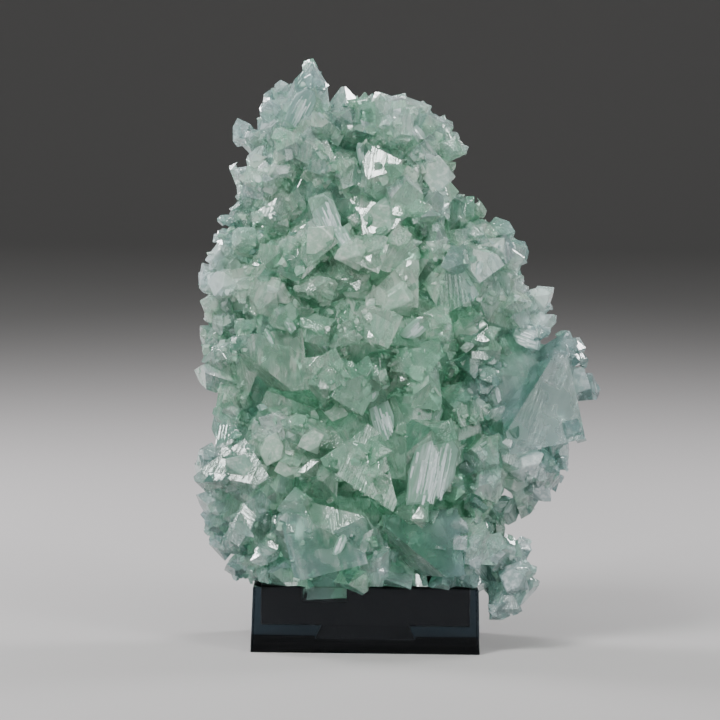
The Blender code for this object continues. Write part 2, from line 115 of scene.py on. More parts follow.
# Broad smooth faces of the front, on which little has grown.
BARE_FACES = (
    Zone(-28, 86, 12, 0.03),
    Zone(54, 77, 14, 0.02),
    Zone(17, 31, 12, 0.05),
    Zone(19, 57, 12, 0.02),
    Zone(-10, 33, 12, 0.04),
)

# Places where the crystals are painted darker and bluer: painted shade for recesses and for broad faces that
# take less light.
PAINTED_SHADE_PLACES = (
    Zone(54, 77, 15, 0.05),
    Zone(-28, 86, 12, 0.2),
    Zone(17, 31, 12, 0.1),
    Zone(28, 84, 9, 0.2),
    Zone(-10, 33, 10, 0.3),
    Zone(-44, 60, 8, 0.35),
)

# Places where the crystals are milky.
MILKY_PLACES = (
    Zone(-46, 112, 12, 0.75),
    Zone(-34, 145, 12, 0.55),
    Zone(20, 146, 12, 0.50),
    Zone(7, 112, 13, 0.55),
    Zone(-12, 120, 10, 0.35),
    Zone(-26, 60, 11, 0.45),
    Zone(-40, 50, 14, 0.35),
    # The broad right face is kept clear of milk, so that with its painted shade it stays dark.
    Zone(54, 77, 15, 0.0),
    Zone(66, 81, 4, 0.75),
    Zone(-10, 33, 12, 0.10),
    Zone(50, 112, 14, 0.60),
    Zone(46, 54, 12, 0.45),
    Zone(-45, 84, 12, 0.40),
    Zone(-20, 160, 12, 0.35),
    Zone(9, 167, 8, 0.55),
    Zone(21, 160, 7, 0.45),
    Zone(44, 28, 12, 0.35),
)

# How milky crystals are elsewhere, and how much whiter they are painted on the upper rim and sides as
# painted rim light, which starts at one height.
MILK_ELSEWHERE = 0.18
PAINTED_RIM_LIGHT = 0.3
RIM_START = 50 * MM
RIM_RISE = 60 * MM

# Zones hold for the front alone, up to this depth. They fade from one share of their radius to another.
FRONT_DEPTH = 6 * MM
FADE_START = 0.7
FADE_LENGTH = 0.6

# A blade's outline, in half widths and half lengths, from its lower left corner up and round.
LEAF = (
    (-0.82, -0.98),
    (-1.0, -0.2),
    (-0.9, 0.6),
    (-0.35, 0.98),
    (0.4, 1.0),
    (0.92, 0.65),
    (1.0, -0.05),
    (0.72, -0.5),
    (-0.05, -0.86),
)
LEAF_WEAR = 0.22

# The body length of a shape that has no root to be drawn out.
NO_ROOT = 10.0


@dataclass(frozen=True)
class Blade:
    """A streaked, pearly blade: its middle in the front view, its length and width, and its slant.

    slant is the angle of its length from level, turning up to the right, in degrees. milk is how milky its
    leaf is and how near white its slivers are, a whiteness that is painted glint.
    """

    x_mm: float
    z_mm: float
    length_mm: float
    width_mm: float
    slant: float
    milk: float = 0.6


# The slivers of each blade are painted near white by its milk, as painted glints.
BLADES = (
    Blade(-13, 132, 16, 8, 112, 0.75),
    Blade(-8, 126, 9, 5, 118, 0.55),
    Blade(14, 157, 9, 5, 130, 0.7),
    Blade(14, 99.5, 10, 5, 42, 0.8),
    Blade(4.5, 72, 15, 7, 108, 0.65),
    Blade(19.5, 57, 24, 14, 80, 0.65),
    Blade(36, 24.5, 10, 6, 128, 0.8),
    Blade(49, 96.5, 9, 7, 160, 0.75),
    Blade(-8, 34, 7, 3, 70, 0.6),
    Blade(21, 72.7, 6, 3, 70, 0.6),
    Blade(39.7, 79, 5, 1.6, 104, 0.9),
    Blade(-13.5, 94, 9, 3, 130, 0.5),
    Blade(-24, 100, 5, 3, 125, 0.6),
    Blade(1.4, 79, 5, 2.5, 60, 0.7),
    Blade(-30, 96, 6, 2, 120, 0.5),
    Blade(33, 118, 5, 2, 75, 0.6),
    Blade(-3, 152, 7, 2.4, 100, 0.5),
    Blade(44, 44, 6, 2.5, 60, 0.6),
    Blade(-22, 165, 14, 7, 64, 0.4),
)

# Room is kept round each blade, so that little grows over it.
BLADE_ROOM = 0.45
BLADE_ROOMS = tuple(Zone(blade.x_mm, blade.z_mm, BLADE_ROOM * blade.length_mm, 0.03) for blade in BLADES)


@dataclass(frozen=True)
class Lump:
    """A stout milky crystal of the front: its middle, its half width and how milky it is."""

    x_mm: float
    z_mm: float
    half_mm: float
    milk: float


LUMPS = (
    Lump(-15, 126, 4.2, 0.55),
    Lump(-5.5, 123, 4.4, 0.5),
    Lump(3, 117, 5.6, 0.45),
    Lump(9, 109, 5.2, 0.45),
    Lump(-3, 110, 4.2, 0.4),
    Lump(-29, 62, 4.0, 0.6),
    Lump(-24, 57, 3.4, 0.5),
    Lump(-17, 65.5, 3.2, 0.55),
    Lump(48.5, 59, 4.4, 0.7),
    Lump(53, 49, 3.6, 0.7),
    Lump(44, 52, 3.6, 0.65),
    Lump(-47, 113, 5.0, 0.65),
    Lump(20, 146, 4.4, 0.6),
    Lump(30, 100, 4.6, 0.5),
    Lump(-27, 110, 3.8, 0.6),
    Lump(-9, 74, 3.8, 0.45),
    Lump(63, 83, 4.4, 0.55),
    Lump(4, 133, 4.6, 0.35),
    Lump(-38, 56.5, 4.6, 0.3),
    Lump(41, 29, 4.4, 0.4),
    Lump(45, 23.5, 4.0, 0.3),
)


def clamped(value: float) -> float:
    """The value, kept between 0 and 1."""
    return min(max(value, 0), 1)


def value_at(zones: tuple[Zone, ...], place: Vector, otherwise: float) -> float:
    """Finds the value that the zones give a place on the front.

    Args:
        zones: The zones to look in.
        place: A place in metres.
        otherwise: The value outside all zones, and everywhere at the back.

    Returns:
        The zones' values, faded into otherwise towards their rims.
    """
    found = otherwise
    if place.y > FRONT_DEPTH:
        return found
    for zone in zones:
        away = math.hypot(place.x / MM - zone.x_mm, place.z / MM - zone.z_mm) / zone.radius_mm
        share = 1 - clamped((away - FADE_START) / FADE_LENGTH)
        found += (zone.value - found) * share
    return found


def milk_at(place: Vector, normal: Vector) -> float:
    """Finds how milky crystals are: more in the milky places, and whiter on the upper rim and sides as
    painted rim light.

    Args:
        place: Where the crystal is.
        normal: The surface's normal there.

    Returns:
        The milkiness with the painted rim light, which may pass 1.
    """
    # Painted rim light: faces turned sideways and higher up are made whiter.
    rim = (1 - abs(normal.y)) * clamped((place.z - RIM_START) / RIM_RISE)
    milk = value_at(MILKY_PLACES, place, MILK_ELSEWHERE)
    return milk + PAINTED_RIM_LIGHT * rim * min(milk / MILK_ELSEWHERE, 1)


def tone_at(place: Vector, own: float) -> float:
    """How light a crystal's colour is at a place: its own share of chance, darkened by painted shade in the
    painted shade places.
    """
    return own * value_at(PAINTED_SHADE_PLACES, place, 1.0)


def only(obj: bpy.types.Object) -> None:
    """Selects one object alone and makes it active.

    Args:
        obj: The object.
    """
    bpy.ops.object.select_all(action="DESELECT")
    obj.select_set(True)
    bpy.context.view_layer.objects.active = obj


def finish_piece(obj: bpy.types.Object, material: bpy.types.Material) -> None:
    """Gives a new piece its body and its material, and reports it.

    Args:
        obj: The piece.
        material: Its material.
    """
    obj.data.materials.clear()
    obj.data.materials.append(material)
    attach(obj, "root")
    log.info("%s: %d faces", obj.name, len(obj.data.polygons))


def dress(node: str, material: bpy.types.Material) -> None:
    """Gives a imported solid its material, and reports it.

    Args:
        node: The solid's name.
        material: Its material.
    """
    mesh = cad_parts[node].data
    mesh.materials.clear()
    mesh.materials.append(material)
    log.info("%s: dressed", node)


@dataclass(frozen=True)
class Template:
    """One modelled crystal, of which copies are planted: its points, its faces and how long its body is.

    Lengths are in half widths.
    """

    points: np.ndarray
    faces: tuple[tuple[int, ...], ...]
    body: float


def taken_from(obj: bpy.types.Object, body: float) -> Template:
    """Ends the modelling of an object that is in edit mode, and removes it.

    Args:
        obj: The modelled object.
        body: How long its body is below the tip.

    Returns:
        What was modelled, its faces pointing outwards.
    """
    bpy.ops.mesh.select_all(action="SELECT")
    bpy.ops.mesh.normals_make_consistent(inside=False)
    bpy.ops.object.mode_set(mode="OBJECT")
    points = np.array([vertex.co for vertex in obj.data.vertices])
    faces = tuple(tuple(face.vertices) for face in obj.data.polygons)
    bpy.data.objects.remove(obj)
    return Template(points, faces, body)


def model_crystal(habit: Habit, variant: int, bevel: float) -> Template:
    """Models one crystal: a prism whose corners are cut by the faces of its pyramid.

    Args:
        habit: How the crystal is built.
        variant: Which of the habit's variants it is.
        bevel: How far its edges are rounded, in half widths.

    Returns:
        The crystal, its tip at the origin and its body down -Z.
    """
    rng = random.Random(f"{habit.value} {variant}")
    form = FORMS[habit]
    bpy.ops.object.select_all(action="DESELECT")
    bpy.ops.mesh.primitive_cube_add(size=2, location=(0, 0, -form.body / 2))
    crystal = bpy.context.object
    crystal.scale = (1, form.thickness, form.body / 2)
    bpy.ops.object.transform_apply(location=True, rotation=False, scale=True)
    bpy.ops.object.mode_set(mode="EDIT")
    for quarter in rng.sample(range(4), form.faces):
        around = math.radians(45 + 90 * quarter + rng.uniform(-CORNER_SWAY, CORNER_SWAY))
        slope = math.sin(PYRAMID_TILT)
        apex = max(form.apex + form.unevenness * rng.uniform(-1, 1), LEAST_APEX)
        bpy.ops.mesh.select_all(action="SELECT")
        bpy.ops.mesh.bisect(
            plane_co=(0, 0, apex),
            plane_no=(math.cos(around) * slope, math.sin(around) * slope, math.cos(PYRAMID_TILT)),
            use_fill=True,
            clear_outer=True,
        )
    bpy.ops.mesh.select_all(action="SELECT")
    if bevel:
        bpy.ops.mesh.bevel(offset=bevel, segments=1, affect="EDGES")
    return taken_from(crystal, form.body)


def model_leaf() -> Template:
    """Models a flat leaf with a worn rim.

    Returns:
        The leaf, one unit in half width, half length and half thickness, its middle at the origin.
    """
    bpy.ops.object.select_all(action="DESELECT")
    bpy.ops.mesh.primitive_cylinder_add(vertices=len(LEAF), radius=1, depth=2, rotation=(math.pi / 2, 0, 0))
    leaf = bpy.context.object
    bpy.ops.object.transform_apply(location=False, rotation=True, scale=False)
    bpy.ops.object.mode_set(mode="EDIT")
    bpy.ops.mesh.select_all(action="DESELECT")
    shape = bmesh.from_edit_mesh(leaf.data)
    for side in (-1, 1):
        ring = [vertex for vertex in shape.verts if vertex.co.y * side > 0]
        ring.sort(key=lambda vertex: math.atan2(vertex.co.x, vertex.co.z))
        for vertex, (x, z) in zip(ring, LEAF, strict=True):
            vertex.co.x, vertex.co.z = x, z
    for edge in shape.edges:
        edge.select = all(vertex.co.y < 0 for vertex in edge.verts)
    shape.select_flush(True)
    bmesh.update_edit_mesh(leaf.data)
    bpy.ops.mesh.bevel(offset=LEAF_WEAR, segments=2, affect="EDGES")
    return taken_from(leaf, NO_ROOT)


@dataclass
class Templates:
    """All the modelled crystals of one bevel."""

    bevel: float
    kinds: dict[tuple[Habit, int], Template] = field(default_factory=dict)

    def take(self, habit: Habit, variant: int) -> Template:
        """Finds a crystal, which is modelled when it is first asked for.

        Args:
            habit: How the crystal is built.
            variant: Which of the habit's variants it is.

        Returns:
            The crystal.
        """
        if (habit, variant) not in self.kinds:
            self.kinds[habit, variant] = model_crystal(habit, variant, self.bevel)
        return self.kinds[habit, variant]


# The share of a crystal's body past which it is its root, and the root's share of its width.
ROOT_START = 0.85
ROOT_TAPER = 0.7

# How far apart the patterns of crystals of unlike tone and milkiness are taken from.
APART = np.array([7, 5, 3])


@dataclass
class Crust:
    """Many crystals that become one piece."""

    points: list[np.ndarray] = field(default_factory=list)
    faces: list[tuple[int, ...]] = field(default_factory=list)
    grown: list[np.ndarray] = field(default_factory=list)
    milk: list[np.ndarray] = field(default_factory=list)
    tone: list[np.ndarray] = field(default_factory=list)
    count: int = 0

    def plant(self, template: Template, place: Matrix, length: float, milk: float, tone: float) -> None:
        """Adds one copy of a crystal.

        Args:
            template: The crystal to copy.
            place: Where its tip goes, how it is turned, and its half width as the scale.
            length: The length of its body, in half widths.
            milk: How milky it is, from 0 to 1.
            tone: How light its colour is, from 0 to 1.
        """
        points = template.points.copy()
        root = points[:, 2] < -ROOT_START * template.body
        points[root, 2] = -length
        points[root, :2] *= ROOT_TAPER
        turn = np.array(place.to_3x3())
        width = np.linalg.norm(turn[:, 0])
        self.grown.append(points * width + np.array([tone, milk, tone]) * APART)
        self.faces += [tuple(index + self.count for index in face) for face in template.faces]
        self.points.append(points @ turn.T + np.array(place.translation))
        self.milk.append(np.full(len(points), milk))
        self.tone.append(np.full(len(points), tone))
        self.count += len(points)

    def build(self, name: str) -> bpy.types.Object:
        """Makes the piece's mesh, with the attributes that its material reads.

        Args:
            name: The piece's name.

        Returns:
            The piece.
        """
        mesh = bpy.data.meshes.new(name)
        mesh.from_pydata(np.concatenate(self.points).tolist(), [], self.faces)
        write_attribute(mesh, "grown", "FLOAT_VECTOR", np.concatenate(self.grown))
        write_attribute(mesh, "milk", "FLOAT", np.concatenate(self.milk))
        write_attribute(mesh, "tone", "FLOAT", np.concatenate(self.tone))
        piece = bpy.data.objects.new(name, mesh)
        bpy.context.scene.collection.objects.link(piece)
        return piece


def write_attribute(
    mesh: bpy.types.Mesh, name: str, kind: str, values: np.ndarray, domain: str = "POINT"
) -> None:
    """Stores numbers or vectors under a name that a material can read.

    Args:
        mesh: The mesh that takes them.
        name: Their name.
        kind: FLOAT or FLOAT_VECTOR.
        values: One value for each point or corner.
        domain: POINT or CORNER.
    """
    attribute = mesh.attributes.new(name, kind, domain)
    key = "vector" if kind == "FLOAT_VECTOR" else "value"
    attribute.data.foreach_set(key, np.ascontiguousarray(values, np.float32).ravel())


# Where the part across a direction is shorter than this, the direction is nearly along the viewer's.
NEARLY_ALONG = 0.25


def turned(direction: Vector, twist: float) -> Matrix:
    """Turns a crystal so that its Z is direction, and its Y faces the viewer as nearly as it can.

    Args:
        direction: The way it points.
        twist: How far it is then turned about that, in radians.

    Returns:
        The rotation.
    """
    along = direction.normalized()
    facing = VIEWER - along * VIEWER.dot(along)
    if facing.length < NEARLY_ALONG:
        facing = UP - along * along.z
    facing.normalize()
    side = facing.cross(along)
    basis = Matrix((side, facing, along)).transposed().to_4x4()
    return basis @ Matrix.Rotation(twist, 4, "Z")


# Growth comes in patches of this size, around a middle favour and down to a least one.
PATCH_SIZE = 13 * MM
PATCH_MIDDLE = 0.6
PATCH_LEAST = 0.08

# A crystal's face counts as free ground where it stands this far clear of the body.
CLEAR_OF_BODY = 0.1 * MM


@dataclass
class Ground:
    """The body's surface, as places where crystals can grow."""

    corners: np.ndarray
    normals: np.ndarray
    areas: np.ndarray
    favour: np.ndarray

    @classmethod
    def of(cls, body: bpy.types.Object, patchiness: float) -> "Ground":
        """Reads a piece's surface, and how far each place of it favours new growth.

        Args:
            body: The piece.
            patchiness: How unevenly growth is spread, from 0 for evenly.

        Returns:
            Its surface.
        """
        mesh = body.data
        mesh.calc_loop_triangles()
        points = np.empty(len(mesh.vertices) * 3)
        mesh.vertices.foreach_get("co", points)
        index = np.empty(len(mesh.loop_triangles) * 3, np.int32)
        mesh.loop_triangles.foreach_get("vertices", index)
        corners = points.reshape(-1, 3)[index.reshape(-1, 3)]
        cross = np.cross(corners[:, 1] - corners[:, 0], corners[:, 2] - corners[:, 0])
        size = np.linalg.norm(cross, axis=1)
        normals = cross / np.maximum(size, 1e-12)[:, None]
        middles = corners.mean(axis=1)
        swell = [noise.noise(Vector(middle) / PATCH_SIZE) for middle in middles]
        patches = [min(max(PATCH_MIDDLE + patchiness * part, PATCH_LEAST), 1) for part in swell]
        bare = BARE_FACES + BLADE_ROOMS
        favour = np.array([value_at(bare, Vector(middle), 1.0) for middle in middles]) * patches
        return cls(corners, normals, size / 2, favour)

    def join(self, other: "Ground") -> "Ground":
        """Both surfaces as one."""
        return Ground(
            np.concatenate((self.corners, other.corners)),
            np.concatenate((self.normals, other.normals)),
            np.concatenate((self.areas, other.areas)),
            np.concatenate((self.favour, other.favour)),
        )

    def outside(self, body: bpy.types.Object) -> "Ground":
        """Finds what of this surface stands clear of the body.

        Args:
            body: The body.

        Returns:
            The part of this surface that is outside it.
        """
        clear = []
        for corner in self.corners.mean(axis=1):
            place = Vector(corner)
            found, nearest, normal, _ = body.closest_point_on_mesh(place)
            clear.append(found and (place - nearest).dot(normal) > CLEAR_OF_BODY)
        keep = np.array(clear)
        return Ground(self.corners[keep], self.normals[keep], self.areas[keep], self.favour[keep])

    def places(self, count: int, spacing: float, seed: int) -> list[tuple[Vector, Vector, float]]:
        """Picks places for crystals.

        Args:
            count: How many places are tried.
            spacing: The least distance between two of them.
            seed: What the choice is drawn from.

        Returns:
            Each place, the surface's normal there and its favour.
        """
        rng = np.random.default_rng(seed)
        weights = self.areas * self.favour
        chosen = rng.choice(len(weights), count, p=weights / weights.sum())
        mix = rng.dirichlet((1, 1, 1), count)
        taken: dict[tuple[int, ...], list[Vector]] = {}
        kept = []
        for face, shares in zip(chosen, mix, strict=True):
            place = Vector(shares @ self.corners[face])
            cell = tuple(int(math.floor(part / spacing)) for part in place)
            near = [
                other
                for x in (-1, 0, 1)
                for y in (-1, 0, 1)
                for z in (-1, 0, 1)
                for other in taken.get((cell[0] + x, cell[1] + y, cell[2] + z), ())
            ]
            if any((other - place).length < spacing for other in near):
                continue
            taken.setdefault(cell, []).append(place)
            kept.append((place, Vector(self.normals[face]), float(self.favour[face])))
        return kept


@dataclass(frozen=True)
class Room:
    """The room that the cluster may take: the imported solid's box, and clear of the block.

    side_share and top_share are how much of a crystal's half width reaches past its tip.
    """

    low: Vector
    high: Vector
    side_share: float = 0.5
    top_share: float = 0.6
    spare: float = 0.3 * MM
    block_half: float = 36 * MM
    block_top: float = 20.4 * MM

    def holds(self, tip: Vector, width: float) -> bool:
        """Says whether a crystal may grow.

        Args:
            tip: Where its tip is.
            width: Its half width.

        Returns:
            Whether the tip and what is round it stay in the room.
        """
        inset = Vector((0, self.side_share * width, 0))
        corners = zip(self.low + inset, tip, self.high - inset, strict=True)
        if any(not low - self.spare < part < high + self.spare for low, part, high in corners):
            return False
        if tip.z + self.top_share * width > self.high.z:
            return False
        return abs(tip.x) - width > self.block_half or tip.z - width > self.block_top


@dataclass(frozen=True)
class Growth:
    """One generation of smaller crystals: how many, how large and of which habits.

    reach is how far a tip stands off the ground, in half widths, and rooted how far its body goes on below.
    small_share is a power: the higher, the more of them are small. Crystals of one nest stand alike.
    """

    name: str
    tries: int
    spacing_mm: float
    width_mm: tuple[float, float]
    reach: tuple[float, float]
    habits: tuple[Habit, ...]
    bevel: float
    seed: int
    small_share: float = 1.6
    rooted: float = 0.9
    milk_spread: tuple[float, float] = (-0.25, 0.3)
    nest_mm: float = 11
    nest_lean: float = 0.45
    own_lean: float = 0.16
    own_twist: float = 0.25

    def grow(self, ground: Ground, room: Room) -> bpy.types.Object:
        """Plants the crystals of this generation on the body.

        Args:
            ground: The body's surface.
            room: The room that the cluster may take.

        Returns:
            The piece that holds them all.
        """
        rng = random.Random(self.seed)
        templates = Templates(self.bevel)
        crust = Crust()
        for place, normal, favour in ground.places(self.tries, self.spacing_mm * MM, self.seed):
            low, high = self.width_mm
            frontal = 0.5 + 0.5 * abs(normal.y)
            width = (low + (high - low) * rng.random() ** self.small_share) * MM * (0.7 + 0.3 * favour)
            width *= frontal
            reach = rng.uniform(*self.reach) * width * frontal
            direction, twist = self.stance(place, normal, rng)
            tip = place + direction * reach
            habit, variant = rng.choice(self.habits), rng.randrange(VARIANTS)
            # Painted light: the milk takes the painted rim light, and the tone the painted shade.
            milk = clamped(milk_at(place, normal) + rng.uniform(*self.milk_spread))
            tone = tone_at(place, rng.random())
            if not room.holds(tip, width):
                continue
            spot = Matrix.Translation(tip) @ turned(direction, twist) @ Matrix.Scale(width, 4)
            crust.plant(templates.take(habit, variant), spot, reach / width + self.rooted, milk, tone)
        return crust.build(self.name)

    def stance(self, place: Vector, normal: Vector, rng: random.Random) -> tuple[Vector, float]:
        """How a crystal stands: outwards, and much as its neighbours in the same nest do.

        Args:
            place: Where it grows.
            normal: The surface's normal there.
            rng: What its own part of the stance is drawn from.

        Returns:
            The way it points, and how far it is twisted about that.
        """
        nest = tuple(round(part / (self.nest_mm * MM)) for part in place)
        shared = random.Random(f"{self.seed} {nest}")
        lean = Vector([shared.gauss(0, self.nest_lean) + rng.gauss(0, self.own_lean) for _ in range(3)])
        outward = Vector((place.x * 0.6, place.y * 1.4, 0)).normalized()
        twist = shared.uniform(0, math.pi) + rng.gauss(0, self.own_twist)
        return (normal * 0.7 + outward * 0.45 + lean).normalized(), twist


@dataclass
class Front:
    """What stands on the front at a place of its own: pearly blades and milky lumps.

    leaf_depth is a leaf's half thickness, and leaf_rise how far it stands off, as shares of its half width.
    leaf_milk is its share of the blade's milkiness. area_per_sliver is in square millimetres of the blade.
    """

    body: bpy.types.Object
    seed: int = 5
    leaf_depth: float = 0.35
    leaf_rise: float = 0.12
    leaf_milk: float = 0.35
    leaf_tone: float = 0.3
    area_per_sliver: float = 6
    fewest_slivers: int = 3
    sliver_mm: tuple[float, float] = (0.16, 0.42)
    least_room: float = 0.15
    lump_wear: float = 0.06
    lump_length: float = 2.2

    def surface(self, x: float, z: float) -> tuple[Vector, Vector]:
        """Finds the front of the body at a place in the front view.

        Args:
            x: The place's X.
            z: The place's Z.

        Returns:
            The point of the front there, and its normal.
        """
        hit, place, normal, _ = self.body.ray_cast(Vector((x, -0.1, z)), Vector((0, 1, 0)))
        if not hit:
            return Vector((x, 0, z)), VIEWER
        return place, normal

    def blades(self) -> bpy.types.Object:
        """Makes each blade from a rounded leaf, with thin slivers, painted pale as glints, grown along its
        face.

        Returns:
            The piece that holds them all.
        """
        rng = random.Random(self.seed)
        templates, crust, leaf = Templates(0.0), Crust(), model_leaf()
        for blade in BLADES:
            place, normal = self.surface(blade.x_mm * MM, blade.z_mm * MM)
            facing = (normal * 0.6 + Vector((0, -1, 0.1))).normalized()
            slant = math.radians(blade.slant)
            along = Vector((math.cos(slant), 0, math.sin(slant)))
            along = (along - facing * along.dot(facing)).normalized()
            across = along.cross(facing)
            wide, long = blade.width_mm * MM / 2, blade.length_mm * MM / 2
            place += facing * wide * self.leaf_rise
            lie = Matrix((across, -facing, along)).transposed().to_4x4()
            frame_of_leaf = Matrix.Translation(place) @ lie
            size = Matrix.Diagonal((wide, wide * self.leaf_depth, long, 1))
            crust.plant(leaf, frame_of_leaf @ size, 1, blade.milk * self.leaf_milk, self.leaf_tone)
            self.slivers(blade, frame_of_leaf, crust, templates, rng)
        return crust.build("pearly_blades")

    def slivers(
        self, blade: Blade, lie: Matrix, crust: Crust, templates: Templates, rng: random.Random
    ) -> None:
        """Plants the thin slivers of one blade, painted near white as glints.

        Args:
            blade: The blade.
            lie: Where its middle is and how it lies, with its length along Z and its face towards -Y.
            crust: What the slivers are planted in.
            templates: The crystals to take them from.
            rng: What they are drawn from.
        """
        across, back, along = (lie.col[index].xyz for index in range(3))
        facing = -back
        wide, long = blade.width_mm * MM / 2, blade.length_mm * MM / 2
        for _ in range(round(blade.width_mm * blade.length_mm / self.area_per_sliver) + self.fewest_slivers):
            share, rise = rng.gauss(0.05, 0.35), rng.gauss(-0.1, 0.3)
            room = math.sqrt(max(1 - share * share, 0.05)) - abs(rise)
            if room < self.least_room:
                continue
            width = rng.uniform(*self.sliver_mm) * MM
            reach = long * min(room, 0.7) * rng.uniform(0.7, 1.3)
            tip = lie.translation + across * share * wide + along * (rise * long + reach / 2)
            tip += facing * (wide * self.leaf_depth + rng.uniform(-0.1, 0.05) * MM)
            lean = (along + across * rng.gauss(0, 0.05)).normalized()
            turn = turned(lean, 0)
            twist = rng.gauss(0, 0.22) - math.atan2(facing.dot(turn.col[0].xyz), facing.dot(turn.col[1].xyz))
            spot = Matrix.Translation(tip) @ turned(lean, twist) @ Matrix.Scale(width, 4)
            template = templates.take(Habit.PLATE, rng.randrange(VARIANTS))
            # Painted glint: a sliver takes its blade's milk and more, so that it shows near white.
            crust.plant(template, spot, reach / width, blade.milk + rng.uniform(0, 0.2), rng.random())

    def lumps(self) -> bpy.types.Object:
        """Sets a stout milky crystal, with its corners worn round, at each lump's place.

        Returns:
            The piece that holds them all.
        """
        rng = random.Random(self.seed + 1)
        templates, crust = Templates(self.lump_wear), Crust()
        for lump in LUMPS:
            place, normal = self.surface(lump.x_mm * MM, lump.z_mm * MM)
            half = lump.half_mm * MM
            direction = (normal * 0.5 + Vector((rng.gauss(0, 0.25), -1, rng.gauss(0.1, 0.25)))).normalized()
            turn = turned(direction, rng.uniform(0, math.pi)) @ Matrix.Scale(half, 4)
            spot = Matrix.Translation(place + direction * half * rng.uniform(0.25, 0.45)) @ turn
            template = templates.take(rng.choice((Habit.BLOCKY, Habit.BLUNT)), rng.randrange(VARIANTS))
            crust.plant(template, spot, self.lump_length, lump.milk, rng.random())
        return crust.build("milky_lumps")


GROWTHS = (
    Growth(
        name="crystals_medium",
        tries=3600,
        spacing_mm=3.4,
        width_mm=(1.5, 5.0),
        reach=(0.25, 0.9),
        habits=(Habit.BLUNT, Habit.BLOCKY, Habit.CHISEL, Habit.PLATE, Habit.BLUNT, Habit.BLOCKY),
        bevel=0.04,
        seed=11,
    ),
    Growth(
        name="crystals_small",
        tries=2700,
        spacing_mm=2.0,
        width_mm=(0.6, 1.8),
        reach=(0.15, 0.9),
        habits=(Habit.BLUNT, Habit.CHISEL, Habit.PLATE, Habit.BLOCKY),
        bevel=0.0,
        seed=12,
    ),
)


